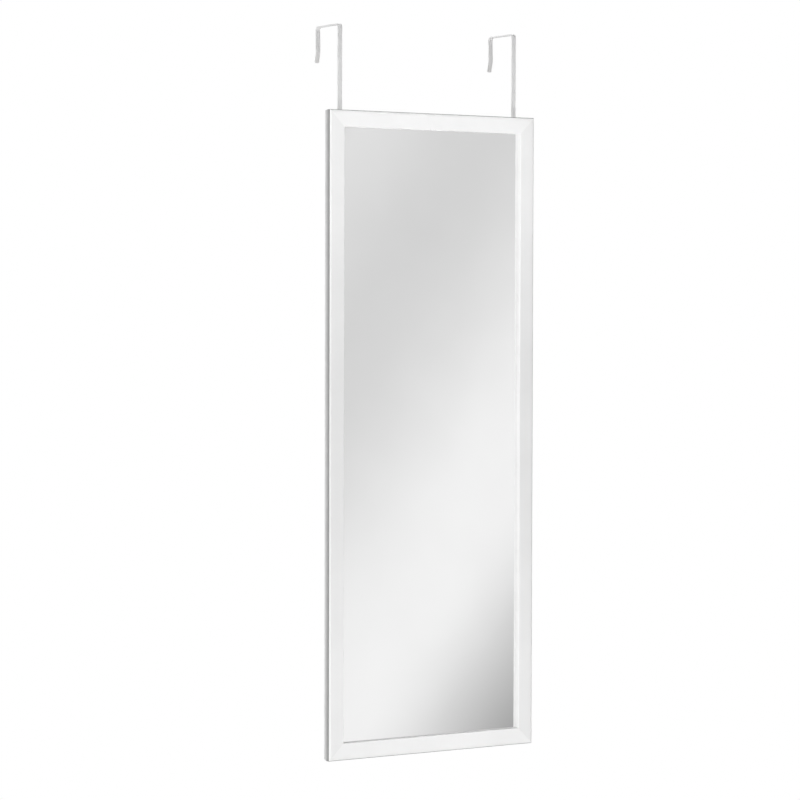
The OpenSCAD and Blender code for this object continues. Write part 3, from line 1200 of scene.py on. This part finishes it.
@dataclass(frozen=True)
class Studio:
    """The camera, the white room, the pale floor and the soft lamps. Its sizes are in metres."""

    sensor: float = 36.0
    lens: float = 135.0
    clip: Pair = (0.05, 60.0)
    camera_place: Triple = (-2.7429, -4.2095, -0.4672)
    yaw: float = math.radians(-32.59)
    pitch: float = math.radians(90 - 1.714)
    roll: float = math.radians(0.133)
    floor_level: float = -2.03
    floor_radius: float = 3.4
    floor_steps: int = 96
    fade_start: float = 0.8
    fade_least: float = 0.55
    fade_share: float = 0.95
    room_span: Pair = (-0.6, 0.8)
    room_tones: Pair = (0.12, 0.2)
    screen_turns: float = 6.0
    screen_tilt: float = math.radians(36)
    screen_shift: float = 0.29
    lamps: tuple[Softbox, ...] = (
        Softbox("left_front", (-2.8, -0.5, -0.6), (0, 0, -0.65), (0.9, 1.5), 52.2),
        Softbox("top_strip", (0.1, -1.0, -0.2), (0.05, 0, -0.2), (1.2, 0.2), 3.0),
        Softbox("near_top_strip", (0, -0.5, -0.17), (0, 0, -0.17), (1.0, 0.15), 0.8),
        Softbox("close_top_strip", (-0.03, -0.28, -0.165), (-0.03, 0, -0.165), (0.85, 0.1), 0.17),
        Softbox("low_strip", (0.1, -1.0, -1.2), (0.05, 0, -1.2), (1.2, 0.2), 5.95),
        Softbox("back_left", (-0.9, 2.9, 0.2), (0, 0, -0.6), (1.6, 1.8), 17.0),
        Softbox("back_right", (1.4, 2.6, -0.3), (0, 0, -0.6), (1.4, 1.8), 29.0),
        Softbox("over_top", (0, 0.12, 0.75), (0, 0.03, -0.14), (0.9, 0.2), 4.5),
        Softbox("right_side", (2.8, 0.9, -0.6), (0.2, 0, -0.6), (0.9, 1.5), 16.0),
    )

    def build(self) -> None:
        """Sets up everything round the object."""
        self.camera()
        self.room()
        self.floor()
        for lamp in self.lamps:
            lamp.build()
        bpy.context.scene.view_settings.view_transform = "Standard"

    def camera(self) -> None:
        """Stands the camera where the photograph was taken from."""
        data = bpy.data.cameras.new("camera")
        data.sensor_width, data.lens = self.sensor, self.lens
        data.clip_start, data.clip_end = self.clip
        data.dof.use_dof = False
        camera = stand("camera", data)
        turn = Matrix.Rotation(self.yaw, 4, "Z") @ Matrix.Rotation(self.pitch, 4, "X")
        turn = turn @ Matrix.Rotation(self.roll, 4, "Z")
        camera.matrix_world = Matrix.Translation(self.camera_place) @ turn
        bpy.context.scene.camera = camera

    def across_screens(self) -> Vector:
        """Returns the way across the slanting screens, as long as the bands that it crosses in one unit."""
        level, drop = math.cos(self.screen_tilt), math.sin(self.screen_tilt)
        return self.screen_turns * Vector((level * math.cos(self.yaw), -level * math.sin(self.yaw), -drop))

    def screens(self, tree: NodeTree, way: NodeSocket) -> NodeSocket:
        """Makes the soft slanting screens that the glass reflects, as bands that fade to and fro.

        Args:
            tree: the room's tree.
            way: the direction that is looked in.

        Returns:
            Their colour.
        """
        across = {"operation": "DOT_PRODUCT", 0: way, 1: self.across_screens()}
        spot = add_node(tree, "VectorMath", across).outputs["Value"]
        for operation, amount in (("ADD", self.screen_shift), ("PINGPONG", 1.0)):
            spot = add_node(tree, "Math", {"operation": operation, 0: spot, 1: amount}).outputs["Value"]
        shaded = add_node(tree, "ValToRGB", {"Fac": spot})
        self.shade_screens(shaded.color_ramp)
        return shaded.outputs["Color"]

    def shade_screens(self, ramp: ColorRamp) -> None:
        """Sets the screens' tones from one edge of a band to the other.

        Args:
            ramp: the colour ramp.
        """
        tones = ((0.0, "#EAEAEA"), (0.2, "#D2D2D2"), (0.4, "#E3E3E3"), (0.56, "#F7F7F7"))
        tones += ((0.72, "#FBFBFB"), (0.84, "#E1E1E1"), (1.0, "#929292"))
        ramp.interpolation = "B_SPLINE"
        while len(ramp.elements) < len(tones):
            ramp.elements.new(0.5)
        for element, (spot, tone) in zip(ramp.elements, tones):
            element.position = spot
            element.color = linear(tone)

    def room(self) -> None:
        """Makes the room: white to the camera, soft slanting screens to the glass, plain to the rest."""
        world = bpy.data.worlds.new("white_room")
        tree = empty_tree(world)
        way = add_node(tree, "TexCoord").outputs["Generated"]
        back = add_node(tree, "SeparateXYZ", {"Vector": way}).outputs["Y"]
        (low, high), (front, rear) = self.room_span, self.room_tones
        span = {"Value": back, "From Min": low, "From Max": high, "To Min": front, "To Max": rear}
        plain = add_node(tree, "MapRange", span).outputs["Result"]
        ray = add_node(tree, "LightPath").outputs
        mix = {"data_type": "RGBA", 0: ray["Is Glossy Ray"], MIX_A: plain, MIX_B: self.screens(tree, way)}
        lit = add_node(tree, "Mix", mix).outputs[MIX_OUT]
        straight = {"operation": "MAXIMUM", 0: ray["Is Camera Ray"], 1: ray["Is Transmission Ray"]}
        seen = add_node(tree, "Math", straight).outputs["Value"]
        mix = {"data_type": "RGBA", 0: seen, MIX_A: lit, MIX_B: (1, 1, 1, 1)}
        colour = add_node(tree, "Mix", mix).outputs[MIX_OUT]
        light = add_node(tree, "Background", {"Color": colour, "Strength": 1.0})
        add_node(tree, "OutputWorld", {"Surface": light.outputs["Background"]})
        bpy.context.scene.world = world

    def pale_floor(self) -> Material:
        """Returns the floor's finish: pale and faintly gritty, and fading to white round its middle."""
        made = bpy.data.materials.new("pale_floor")
        tree = empty_tree(made)
        place = add_node(tree, "TexCoord").outputs["Object"]
        level = add_node(tree, "Mapping", {"Vector": place, "Location": (0, 0, -self.floor_level)})
        reach = add_node(tree, "VectorMath", {"operation": "LENGTH", 0: level.outputs["Vector"]})
        far = self.floor_radius * self.fade_share
        span = {"From Min": self.fade_start, "From Max": far, "To Min": self.fade_least}
        rim = add_node(tree, "MapRange", span | {"Value": reach.outputs["Value"]}).outputs["Result"]
        seen = add_node(tree, "LightPath").outputs["Is Camera Ray"]
        faded = add_node(tree, "Math", {"operation": "MULTIPLY", 0: rim, 1: seen}).outputs["Value"]
        grit = even(12.0, 3.0).lay(tree)
        mix = {"data_type": "RGBA", 0: grit, MIX_A: linear("#EDEDEC"), MIX_B: linear("#F1F1F0")}
        colour = add_node(tree, "Mix", mix).outputs[MIX_OUT]
        matt = add_node(tree, "BsdfDiffuse", {"Color": colour}).outputs["BSDF"]
        white = add_node(tree, "Emission", {"Color": (1, 1, 1, 1)}).outputs["Emission"]
        shown = add_node(tree, "MixShader", {0: faded, 1: matt, 2: white})
        add_node(tree, "OutputMaterial", {"Surface": shown.outputs["Shader"]})
        return made

    def floor(self) -> None:
        """Lays the floor under the door: it keeps a soft shadow and fades to white at its rim."""
        bm = bmesh.new()
        place = Matrix.Translation((0, 0, self.floor_level))
        bmesh.ops.create_circle(
            bm, cap_ends=True, segments=self.floor_steps, radius=self.floor_radius, matrix=place
        )
        mesh = to_mesh("floor", bm)
        mesh.materials.append(self.pale_floor())
        floor = stand("floor", mesh)
        floor.visible_glossy = False


def main() -> None:
    """Sets up the studio and builds every sub-assembly in order."""
    logging.basicConfig(level=logging.INFO, format="%(name)s %(message)s")
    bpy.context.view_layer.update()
    for part in (Studio(), MitredFrame(), Glazing(), Bumpers(), StrapHook(), HookFixings()):
        part.build()


if __name__ == "__main__":
    main()
